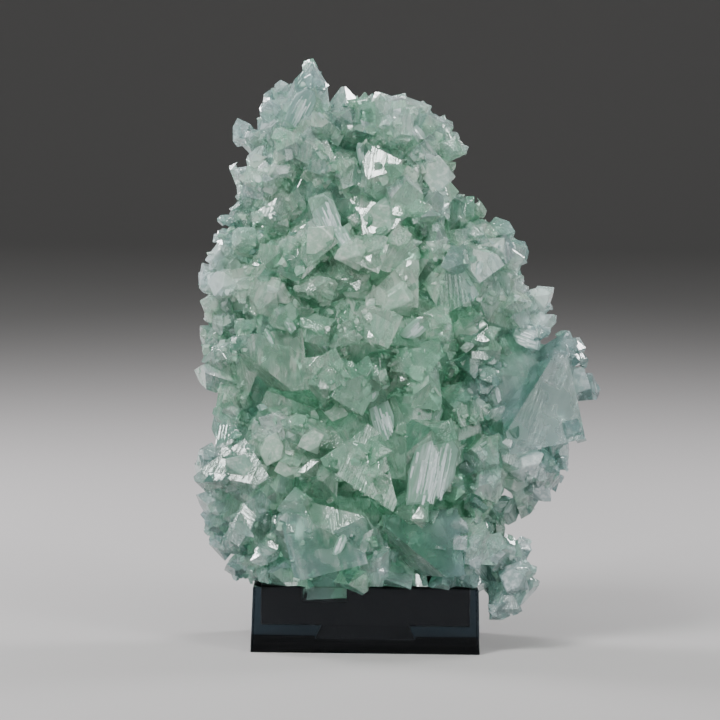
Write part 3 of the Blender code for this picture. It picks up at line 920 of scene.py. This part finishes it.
@dataclass
class Specimen:
    """The crystal cluster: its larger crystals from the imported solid, and smaller ones grown on it."""

    node: str = "crystal_cluster"
    slot: str = "apophyllite"
    longest_edge_mm: float = 1.8 * 1.4
    wave_mm: float = 0.06
    wave_size_mm: float = 5
    wave_layers: int = 3
    crease: float = math.radians(24)
    patchiness: float = 1.0
    fine_patchiness: float = 2.6
    seed: int = 3

    def build(self) -> None:
        """Builds and dresses the cluster's pieces."""
        clear = CrystalFinish("clear_crystal", 0.66, 0.05).material()
        cloudy = CrystalFinish("cloudy_crystal", 0.45, 0.07, streaks=1.5).material()
        # The pearly finish clouds towards a near-white painted sheen.
        pearly = CrystalFinish("pearly_crystal_painted_sheen", 0.4, 0.09, streaks=2.5, milky=PAINTED_PEARLY_SHEEN).material()
        body = self.body()
        finish_piece(body, clear)
        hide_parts(self.node)
        room = Room(*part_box(self.node))
        medium, small = GROWTHS
        stout = medium.grow(Ground.of(body, self.patchiness), room)
        finish_piece(stout, clear)
        fine = self.fine_patchiness
        ground = Ground.of(body, fine).join(Ground.of(stout, fine).outside(body))
        finish_piece(small.grow(ground, room), cloudy)
        front = Front(body)
        finish_piece(front.blades(), pearly)
        finish_piece(front.lumps(), cloudy)

    def body(self) -> bpy.types.Object:
        """Makes the larger crystals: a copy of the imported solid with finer, slightly uneven faces.

        Returns:
            The piece.
        """
        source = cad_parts[self.node]
        body = source.copy()
        body.data = source.data.copy()
        body.name = "crystals_large"
        bpy.context.scene.collection.objects.link(body)
        body.parent = None
        for key in [key for key in body.keys() if key.startswith("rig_")]:
            del body[key]
        only(body)
        bpy.ops.object.mode_set(mode="EDIT")
        bpy.ops.mesh.select_all(action="SELECT")
        bpy.ops.mesh.customdata_custom_splitnormals_clear()
        bpy.ops.mesh.remove_doubles(threshold=0.002 * MM)
        bpy.ops.mesh.dissolve_limited(angle_limit=math.radians(0.5))
        bpy.ops.object.mode_set(mode="OBJECT")
        self.mark_facets(body.data)
        self.refine(body)
        return body

    def mark_facets(self, mesh: bpy.types.Mesh) -> None:
        """Gives each crystal face a tone of its own, darkened by painted shade in some places, and
        coordinates that run along and across it.

        Args:
            mesh: The larger crystals' mesh, one polygon to each crystal face.
        """
        grown = np.zeros((len(mesh.loops), 3))
        tone = np.zeros(len(mesh.loops))
        milk = np.zeros(len(mesh.loops))
        rng = random.Random(self.seed)
        for face in mesh.polygons:
            normal = face.normal
            up = UP - normal * normal.z
            if up.length < 0.2:
                up = Vector((1, 0, 0)) - normal * normal.x
            up.rotate(Matrix.Rotation(rng.uniform(-0.5, 0.5), 3, normal))
            up.normalize()
            side = up.cross(normal)
            # Painted shade and rim light: the tone is darkened in the painted shade places, and the milk
            # whitened on the upper rim.
            own = tone_at(face.center, rng.random())
            cloud = clamped(milk_at(face.center, normal) + rng.uniform(-0.15, 0.2))
            for loop in face.loop_indices:
                place = mesh.vertices[mesh.loops[loop].vertex_index].co
                grown[loop] = (place.dot(side), place.dot(normal) + own, place.dot(up))
                tone[loop] = own
                milk[loop] = cloud
        write_attribute(mesh, "grown", "FLOAT_VECTOR", grown, "CORNER")
        write_attribute(mesh, "tone", "FLOAT", tone, "CORNER")
        write_attribute(mesh, "milk", "FLOAT", milk, "CORNER")

    def refine(self, body: bpy.types.Object) -> None:
        """Splits the faces to an even fineness and makes them slightly uneven.

        Args:
            body: The larger crystals.
        """
        shape = bmesh.new()
        shape.from_mesh(body.data)
        bmesh.ops.triangulate(shape, faces=shape.faces)
        for _ in range(5):
            long = [edge for edge in shape.edges if edge.calc_length() > self.longest_edge_mm * MM]
            if not long:
                break
            bmesh.ops.subdivide_edges(shape, edges=long, cuts=1)
            bmesh.ops.triangulate(shape, faces=[face for face in shape.faces if len(face.verts) > 3])
        shape.to_mesh(body.data)
        shape.free()
        wave = bpy.data.textures.new("uneven growth", "CLOUDS")
        wave.noise_scale = self.wave_size_mm * MM
        wave.noise_depth = self.wave_layers
        displace = body.modifiers.new("Uneven growth", "DISPLACE")
        displace.texture = wave
        displace.texture_coords = "LOCAL"
        displace.strength = self.wave_mm * MM * 2
        displace.mid_level = 0.5
        only(body)
        bpy.ops.object.modifier_apply(modifier=displace.name)
        bpy.ops.object.shade_smooth_by_angle(angle=self.crease)


@dataclass
class Tree:
    """A short way of making and joining shader nodes in one node tree."""

    tree: bpy.types.NodeTree

    def add(self, kind: str, **values: object) -> bpy.types.Node:
        """Adds a node and sets its properties.

        Args:
            kind: The node's type, without ShaderNode.
            **values: Properties of the node.

        Returns:
            The node.
        """
        node = self.tree.nodes.new("ShaderNode" + kind)
        for name, value in values.items():
            setattr(node, name, value)
        return node

    def put(self, target: bpy.types.NodeSocket, source: object) -> None:
        """Joins a socket to another, or sets its value.

        Args:
            target: The socket that takes it.
            source: Another socket, or a value.
        """
        if isinstance(source, bpy.types.NodeSocket):
            self.tree.links.new(source, target)
        else:
            target.default_value = source

    def math(self, operation: str, a: object, b: object = 0.0) -> bpy.types.NodeSocket:
        """Adds a Math node.

        Args:
            operation: What it works out.
            a: Its first socket or number.
            b: Its second socket or number.

        Returns:
            The result.
        """
        node = self.add("Math", operation=operation)
        self.put(node.inputs[0], a)
        self.put(node.inputs[1], b)
        return node.outputs[0]

    def plus(self, a: object, b: object) -> bpy.types.NodeSocket:
        """The sum of two sockets or numbers."""
        return self.math("ADD", a, b)

    def times(self, a: object, b: object) -> bpy.types.NodeSocket:
        """The product of two sockets or numbers."""
        return self.math("MULTIPLY", a, b)

    def minus(self, a: object, b: object) -> bpy.types.NodeSocket:
        """The difference of two sockets or numbers."""
        return self.math("SUBTRACT", a, b)

    def blend(self, share: object, a: object, b: object) -> bpy.types.NodeSocket:
        """Mixes two colours.

        Args:
            share: How much of b there is.
            a: A colour or a socket.
            b: The other.

        Returns:
            The mixed colour.
        """
        node = self.add("Mix", data_type="RGBA")
        self.put(node.inputs["Factor"], share)
        self.put(node.inputs[6], a)
        self.put(node.inputs[7], b)
        return node.outputs[2]

    def ramp(
        self, value: object, low: float, high: float, to_low: float = 0, to_high: float = 1
    ) -> bpy.types.NodeSocket:
        """Takes a value from one range to another, and keeps it inside it.

        Args:
            value: The value's socket.
            low: Where the first range starts.
            high: Where the first range ends.
            to_low: What low becomes.
            to_high: What high becomes.

        Returns:
            The new value.
        """
        node = self.add("MapRange")
        self.put(node.inputs[0], value)
        for socket, number in zip(node.inputs[1:5], (low, high, to_low, to_high), strict=False):
            socket.default_value = number
        return node.outputs[0]

    def noise(
        self, coordinates: bpy.types.NodeSocket, scale: float, detail: float, rough: float = 0.5
    ) -> bpy.types.NodeSocket:
        """Adds a Noise texture.

        Args:
            coordinates: Where it is read.
            scale: How fine it is, per metre.
            detail: How many finer layers it has.
            rough: How strong those layers are.

        Returns:
            Its value.
        """
        node = self.add("TexNoise")
        self.put(node.inputs["Vector"], coordinates)
        node.inputs["Scale"].default_value = scale
        node.inputs["Detail"].default_value = detail
        node.inputs["Roughness"].default_value = rough
        return node.outputs["Fac"]

    def stretched(
        self, coordinates: bpy.types.NodeSocket, scale: tuple[float, float, float]
    ) -> bpy.types.NodeSocket:
        """Scales coordinates along the axes.

        Args:
            coordinates: The coordinates.
            scale: What each is multiplied by.

        Returns:
            The new coordinates.
        """
        node = self.add("Mapping")
        self.put(node.inputs["Vector"], coordinates)
        node.inputs["Scale"].default_value = scale
        return node.outputs["Vector"]

    def relief(self, target: bpy.types.NodeSocket, height: object, strength: float, distance: float) -> None:
        """Adds a Bump node.

        Args:
            target: The shader's normal.
            height: The relief's height.
            strength: How strong it is.
            distance: What a height of one stands for, in metres.
        """
        bump = self.add("Bump")
        bump.inputs["Strength"].default_value = strength
        bump.inputs["Distance"].default_value = distance
        self.put(bump.inputs["Height"], height)
        self.put(target, bump.outputs["Normal"])


@dataclass
class Surface:
    """A new material with its tree, its shader and its output."""

    name: str
    material: bpy.types.Material = field(init=False)
    tree: Tree = field(init=False)
    shader: bpy.types.Node = field(init=False)
    output: bpy.types.Node = field(init=False)

    def __post_init__(self) -> None:
        """Makes the material."""
        self.material = bpy.data.materials.new(self.name)
        self.material.use_nodes = True
        nodes = self.material.node_tree.nodes
        self.tree = Tree(self.material.node_tree)
        self.shader, self.output = nodes["Principled BSDF"], nodes["Material Output"]

    def set(self, **values: object) -> None:
        """Sets sockets of the shader.

        Args:
            **values: A value or a socket for each, by its name in small letters with _ for each space.
        """
        for name, value in values.items():
            words = [word.upper() if word == "ior" else word.title() for word in name.split("_")]
            self.tree.put(self.shader.inputs[" ".join(words)], value)

    def absorb(self, colour: Colour, density: float) -> None:
        """Tints what passes through the material.

        Args:
            colour: What the light turns to.
            density: How strongly, per metre.
        """
        volume = self.tree.add("VolumeAbsorption")
        volume.inputs["Color"].default_value = colour
        volume.inputs["Density"].default_value = density
        self.tree.put(self.output.inputs["Volume"], volume.outputs[0])


def new_group(
    name: str, inputs: dict[str, float], outputs: tuple[str, ...]
) -> tuple[bpy.types.NodeTree, Tree]:
    """Starts a node group with named inputs and outputs.

    Args:
        name: The group's name.
        inputs: Its inputs and their values.
        outputs: Its outputs.

    Returns:
        The group, and its tree.
    """
    group = bpy.data.node_groups.new(name, "ShaderNodeTree")
    for key, value in inputs.items():
        socket = group.interface.new_socket(key, in_out="INPUT", socket_type="NodeSocketFloat")
        socket.default_value = value
    for key in outputs:
        group.interface.new_socket(key, in_out="OUTPUT", socket_type="NodeSocketFloat")
    return group, Tree(group)


def growth_marks() -> bpy.types.NodeTree:
    """Makes the group of marks that growth leaves on a face: streaks, steps, frost and cracks.

    Returns:
        A group that puts out a height, a mask of frosted places and a mask of fine pale threads.
    """
    if "Growth marks" in bpy.data.node_groups:
        return bpy.data.node_groups["Growth marks"]
    group, tree = new_group("Growth marks", {"Streaks": 1.0}, ("Height", "Frost", "Threads"))
    start = group.nodes.new("NodeGroupInput")
    end = group.nodes.new("NodeGroupOutput")
    own = tree.add("Attribute", attribute_name="grown").outputs["Vector"]
    streak = tree.noise(tree.stretched(own, (1, 1, 0.12)), 1000, 1, 0.6)
    steps = tree.noise(tree.stretched(own, (0.5, 1, 1)), 260, 1, 0.4)
    streaks = tree.times(streak, start.outputs["Streaks"])
    tree.put(end.inputs["Height"], tree.plus(streaks, steps))
    patch = tree.noise(own, 180, 1, 0.55)
    tree.put(end.inputs["Frost"], tree.ramp(patch, 0.48, 0.62))
    crack = tree.noise(tree.stretched(own, (1, 1, 0.35)), 330, 1, 0.6)
    thread = tree.ramp(tree.math("ABSOLUTE", tree.minus(crack, 0.5)), 0.0, 0.012, 1, 0)
    tree.put(end.inputs["Threads"], tree.times(thread, tree.ramp(patch, 0.4, 0.55)))
    return group


# Painted pearly sheen: the near-white colour that the pearly finish clouds towards.
PAINTED_PEARLY_SHEEN: Colour = (0.80, 0.84, 0.88, 1)


@dataclass(frozen=True)
class CrystalFinish:
    """Pale apophyllite: partly clear, partly clouded, green at the cluster's core and bluish on its rim.

    Each colour has a green and a cool form. dark_tone is the tone below which a crystal counts as dark, as
    its random tone and the painted shade make it.
    There its streaks are calmed to calm, its glints dimmed to dim, and its faces dulled by dull.
    """

    name: str
    clearness: float
    roughness: float
    streaks: float = 1.0
    deep: Colour = (0.10, 0.27, 0.18, 1)
    pale: Colour = (0.36, 0.61, 0.47, 1)
    milky: Colour = (0.66, 0.73, 0.66, 1)
    cool_deep: Colour = (0.09, 0.19, 0.185, 1)
    cool_pale: Colour = (0.50, 0.62, 0.65, 1)
    cool_milky: Colour = (0.76, 0.80, 0.84, 1)
    passed: Colour = (0.76, 0.92, 0.84, 1)
    absorbed: Colour = (0.60, 0.86, 0.75, 1)
    density: float = 16.0
    core: tuple[float, float, float] = (-0.05, 0, 0.97)
    core_scale: tuple[float, float, float] = (18, 0, 11)
    dark_tone: float = 0.3
    calm: float = 0.42
    dim: float = 0.1
    dull: float = 0.12
    frost: float = 0.18
    relief: float = 0.18 * MM
    relief_strength: float = 0.6
    coat_roughness: float = 0.025
    shadow_passed: float = 0.6

    def material(self) -> bpy.types.Material:
        """Builds the material.

        Returns:
            The material.
        """
        made = Surface(self.name)
        tree = made.tree
        marks = tree.add("Group", node_tree=growth_marks())
        marks.inputs["Streaks"].default_value = self.streaks
        tone = tree.add("Attribute", attribute_name="tone").outputs["Fac"]
        dulled = tree.ramp(tone, 0, self.dark_tone, self.dull, 0)
        rough = tree.plus(dulled, tree.times(marks.outputs["Frost"], self.frost))
        made.set(
            base_color=self.colour(tree, tone, marks.outputs["Threads"]),
            roughness=tree.plus(rough, self.roughness),
            transmission_weight=self.clearness,
            ior=CRYSTAL_IOR,
            metallic=0,
        )
        self.face(made, tone, marks.outputs["Height"])
        self.inside(made)
        return made.material

    def colour(
        self, tree: Tree, tone: bpy.types.NodeSocket, threads: bpy.types.NodeSocket
    ) -> bpy.types.NodeSocket:
        """Builds the colour: deep to pale, green to cool away from the core, and clouded with white. The
        tone carries painted shade, and the milk painted rim light and painted glints.

        Args:
            tree: The material's tree.
            tone: How light the crystal is.
            threads: The mask of fine pale threads.

        Returns:
            The colour.
        """
        place = tree.add("TexCoord").outputs["Object"]
        own = tree.add("Attribute", attribute_name="grown").outputs["Vector"]
        milk = tree.add("Attribute", attribute_name="milk").outputs["Fac"]
        cloud = tree.noise(place, 55, 1, 0.6)
        # Painted shade: a lower tone, as in the painted shade places, takes the colour towards deep here and
        # towards cool below.
        light = tree.plus(tree.ramp(cloud, 0.35, 0.65, 0, 0.3), tree.times(tone, 0.7))
        away = tree.add("VectorMath", operation="DISTANCE")
        tree.put(away.inputs[0], tree.stretched(place, self.core_scale))
        away.inputs[1].default_value = self.core
        cool = tree.minus(tree.plus(away.outputs["Value"], cloud), tree.times(tone, 0.45))
        cool = tree.ramp(cool, 0.85, 1.4, 0.05, 0.95)
        green = tree.blend(light, self.deep, self.pale)
        clear = tree.blend(cool, green, tree.blend(light, self.cool_deep, self.cool_pale))
        veils = tree.noise(tree.stretched(own, (1, 1, 0.25)), 520, 2, 0.7)
        haze = tree.plus(tree.ramp(veils, 0.48, 0.72, -0.1, 0.6), tree.times(threads, 0.5))
        haze = tree.times(haze, tree.ramp(milk, 0, 0.4, 0.3, 1))
        clouded = tree.ramp(tree.plus(milk, haze), 0.1, 1.0, 0, 0.95)
        return tree.blend(clouded, clear, tree.blend(cool, self.milky, self.cool_milky))

    def face(self, made: Surface, tone: bpy.types.NodeSocket, height: bpy.types.NodeSocket) -> None:
        """Gives the faces their growth relief, and sharp glints on its higher places.

        Args:
            made: The material.
            tone: How light the crystal is.
            height: The relief's height.
        """
        tree = made.tree
        middle = 0.5 * (self.streaks + 1)
        calmed = tree.times(tree.minus(height, middle), tree.ramp(tone, 0, self.dark_tone, self.calm, 1))
        tree.relief(made.shader.inputs["Normal"], calmed, self.relief_strength, self.relief)
        glint = tree.ramp(height, middle, middle + 0.1, 0.1, 1)
        dimmed = tree.times(glint, tree.ramp(tone, 0, self.dark_tone, self.dim, 1))
        made.set(coat_weight=dimmed, coat_roughness=self.coat_roughness, coat_ior=CRYSTAL_IOR)

    def inside(self, made: Surface) -> None:
        """Tints what passes through, and lets part of the light that casts shadows through as well.

        Args:
            made: The material.
        """
        made.absorb(self.absorbed, self.density)
        tree = made.tree
        through = tree.add("BsdfTransparent")
        through.inputs["Color"].default_value = self.passed
        shadow = tree.add("LightPath").outputs["Is Shadow Ray"]
        mix = tree.add("MixShader")
        tree.put(mix.inputs[0], tree.times(shadow, self.shadow_passed))
        tree.put(mix.inputs[1], made.shader.outputs[0])
        tree.put(mix.inputs[2], through.outputs[0])
        tree.put(made.output.inputs["Surface"], mix.outputs[0])


@dataclass(frozen=True)
class AcrylicFinish:
    """Polished acrylic with a dark smoke tint."""

    name: str = "smoked_acrylic"
    surface: Colour = (0.96, 0.98, 1, 1)
    mirrored: Colour = (0.35, 0.37, 0.4, 1)
    absorbed: Colour = (0.42, 0.50, 0.54, 1)
    density: float = 125.0

    def material(self) -> bpy.types.Material:
        """Builds the material.

        Returns:
            The material.
        """
        made = Surface(self.name)
        tree = made.tree
        place = tree.add("TexCoord").outputs["Object"]
        smears = tree.noise(tree.stretched(place, (1, 1, 3)), 120, 4, 0.6)
        made.set(
            base_color=self.surface,
            roughness=tree.ramp(smears, 0.4, 0.8, 0.015, 0.09),
            transmission_weight=1.0,
            ior=ACRYLIC_IOR,
            specular_tint=self.mirrored,
        )
        made.absorb(self.absorbed, self.density)
        return made.material


@dataclass(frozen=True)
class PuttyFinish:
    """Black mounting putty, dull with a faint sheen where it was pressed."""

    name: str = "black_putty"
    dark: Colour = (0.002, 0.002, 0.002, 1)
    light: Colour = (0.006, 0.006, 0.007, 1)
    sheen: float = 0.05
    relief: float = 0.2 * MM
    relief_strength: float = 0.6

    def material(self) -> bpy.types.Material:
        """Builds the material.

        Returns:
            The material.
        """
        made = Surface(self.name)
        tree = made.tree
        place = tree.add("TexCoord").outputs["Object"]
        grain = tree.noise(place, 900, 4, 0.6)
        dabs = tree.noise(place, 160, 2, 0.5)
        made.set(
            base_color=tree.blend(dabs, self.dark, self.light),
            roughness=tree.ramp(dabs, 0.3, 0.7, 0.38, 0.65),
            specular_ior_level=self.sheen,
        )
        height = tree.plus(tree.times(grain, 0.3), dabs)
        tree.relief(made.shader.inputs["Normal"], height, self.relief_strength, self.relief)
        return made.material


@dataclass
class DisplayBlock:
    """The acrylic block under the specimen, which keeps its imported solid."""

    node: str = "acrylic_base"

    def build(self) -> None:
        """Dresses the block."""
        dress(self.node, AcrylicFinish().material())


@dataclass
class PuttyBed:
    """The putty in the block's recess."""

    node: str = "mounting_putty"

    def build(self) -> None:
        """Dresses the putty."""
        dress(self.node, PuttyFinish().material())


@dataclass(frozen=True)
class Lamp:
    """One soft light: where it stands, how wide and how strong it is, and its colour.

    A strip also has a height.
    """

    name: str
    place: tuple[float, float, float]
    width: float
    power: float
    colour: tuple[float, float, float] = (1, 1, 1)
    height: float = 0


@dataclass
class Studio:
    """A plain pale floor, soft lights and a camera at the photograph's viewing angle."""

    lamps: tuple[Lamp, ...] = (
        Lamp("key", (-0.4, -0.6, 0.8), 0.32, 9.2),
        Lamp("fill", (0.7, -0.7, 0.4), 0.6, 3.2),
        Lamp("rim_left", (-0.6, 0.3, 0.5), 0.3, 10, (1, 0.96, 1)),
        Lamp("rim_right", (0.65, 0.35, 0.6), 0.3, 9, (1, 0.97, 1)),
        Lamp("strip_left", (-0.55, -0.8, 0.35), 0.03, 2.6, (1, 1, 1), 0.7),
        Lamp("strip_right", (0.6, -0.75, 0.35), 0.03, 2.0, (1, 1, 1), 0.7),
        Lamp("strip_high", (0.05, -0.6, 0.95), 0.7, 2.6, (1, 1, 1), 0.03),
    )
    aim: Vector = field(default_factory=lambda: Vector((-2.6, -25, 89.7)) * MM)
    distance: float = 1.175
    elevation: float = math.radians(4)
    roll: float = math.radians(0.7)
    half_frame: float = 109.1 * MM
    lit: Vector = field(default_factory=lambda: Vector((0, 0, 90)) * MM)
    floor_size: float = 6
    floor_bend: float = 1.6
    floor_colour: Colour = (0.35, 0.345, 0.34, 1)
    floor_roughness: float = 0.5
    surround: Colour = (0.5, 0.5, 0.5, 1)
    surround_strength: float = 0.2

    def build(self) -> None:
        """Builds the studio."""
        self.floor()
        self.world()
        for lamp in self.lamps:
            self.light(lamp)
        self.camera()

    def floor(self) -> None:
        """Adds a wide pale floor that sweeps up behind the specimen."""
        bpy.ops.object.select_all(action="DESELECT")
        bpy.ops.mesh.primitive_plane_add(size=self.floor_size)
        floor = bpy.context.object
        floor.name = "floor"
        bpy.ops.object.mode_set(mode="EDIT")
        self.select_far_edge(floor)
        wall = self.floor_size / 2
        bpy.ops.mesh.extrude_region_move(TRANSFORM_OT_translate={"value": (0, 0, wall)})
        self.select_far_edge(floor)
        bpy.ops.mesh.bevel(offset=self.floor_bend, segments=24, affect="EDGES")
        bpy.ops.object.mode_set(mode="OBJECT")
        bpy.ops.object.shade_smooth()
        made = Surface("pale_floor")
        made.set(base_color=self.floor_colour, roughness=self.floor_roughness)
        floor.data.materials.append(made.material)

    def select_far_edge(self, floor: bpy.types.Object) -> None:
        """Selects the edge where the level floor ends behind the specimen.

        Args:
            floor: The floor, in edit mode.
        """
        bpy.ops.mesh.select_all(action="DESELECT")
        shape = bmesh.from_edit_mesh(floor.data)
        behind, level = self.floor_size / 2 - 0.1, 0.1
        for edge in shape.edges:
            edge.select = all(vertex.co.y > behind and vertex.co.z < level for vertex in edge.verts)
        shape.select_flush(True)
        bmesh.update_edit_mesh(floor.data)

    def world(self) -> None:
        """Adds an even grey surround."""
        world = bpy.data.worlds.new("studio")
        world.use_nodes = True
        background = world.node_tree.nodes["Background"]
        background.inputs["Color"].default_value = self.surround
        background.inputs["Strength"].default_value = self.surround_strength
        bpy.context.scene.world = world

    def light(self, lamp: Lamp) -> None:
        """Adds one area light, aimed at the middle of the specimen.

        Args:
            lamp: The light.
        """
        data = bpy.data.lights.new(lamp.name, "AREA")
        data.shape = "RECTANGLE" if lamp.height else "DISK"
        data.size = lamp.width
        if lamp.height:
            data.size_y = lamp.height
        data.energy = lamp.power
        data.color = lamp.colour
        obj = bpy.data.objects.new(lamp.name, data)
        obj.location = lamp.place
        toward = self.lit - Vector(lamp.place)
        obj.rotation_euler = toward.to_track_quat("-Z", "Y").to_euler()
        bpy.context.scene.collection.objects.link(obj)

    def camera(self) -> None:
        """Adds the camera: a long lens, looking slightly down at the specimen's middle."""
        data = bpy.data.cameras.new("camera")
        data.lens_unit = "FOV"
        data.angle = 2 * math.atan(self.half_frame / self.distance)
        obj = bpy.data.objects.new("camera", data)
        back = Vector((0, -math.cos(self.elevation), math.sin(self.elevation)))
        place = self.aim + back * self.distance
        look = (-back).to_track_quat("-Z", "Y").to_matrix().to_4x4()
        obj.matrix_world = Matrix.Translation(place) @ look @ Matrix.Rotation(self.roll, 4, "Z")
        bpy.context.scene.collection.objects.link(obj)
        bpy.context.scene.camera = obj


def main() -> None:
    """Builds the object and its studio in order."""
    logging.basicConfig(level=logging.INFO, format="%(message)s")
    Specimen().build()
    DisplayBlock().build()
    PuttyBed().build()
    Studio().build()


if __name__ == "__main__":
    main()
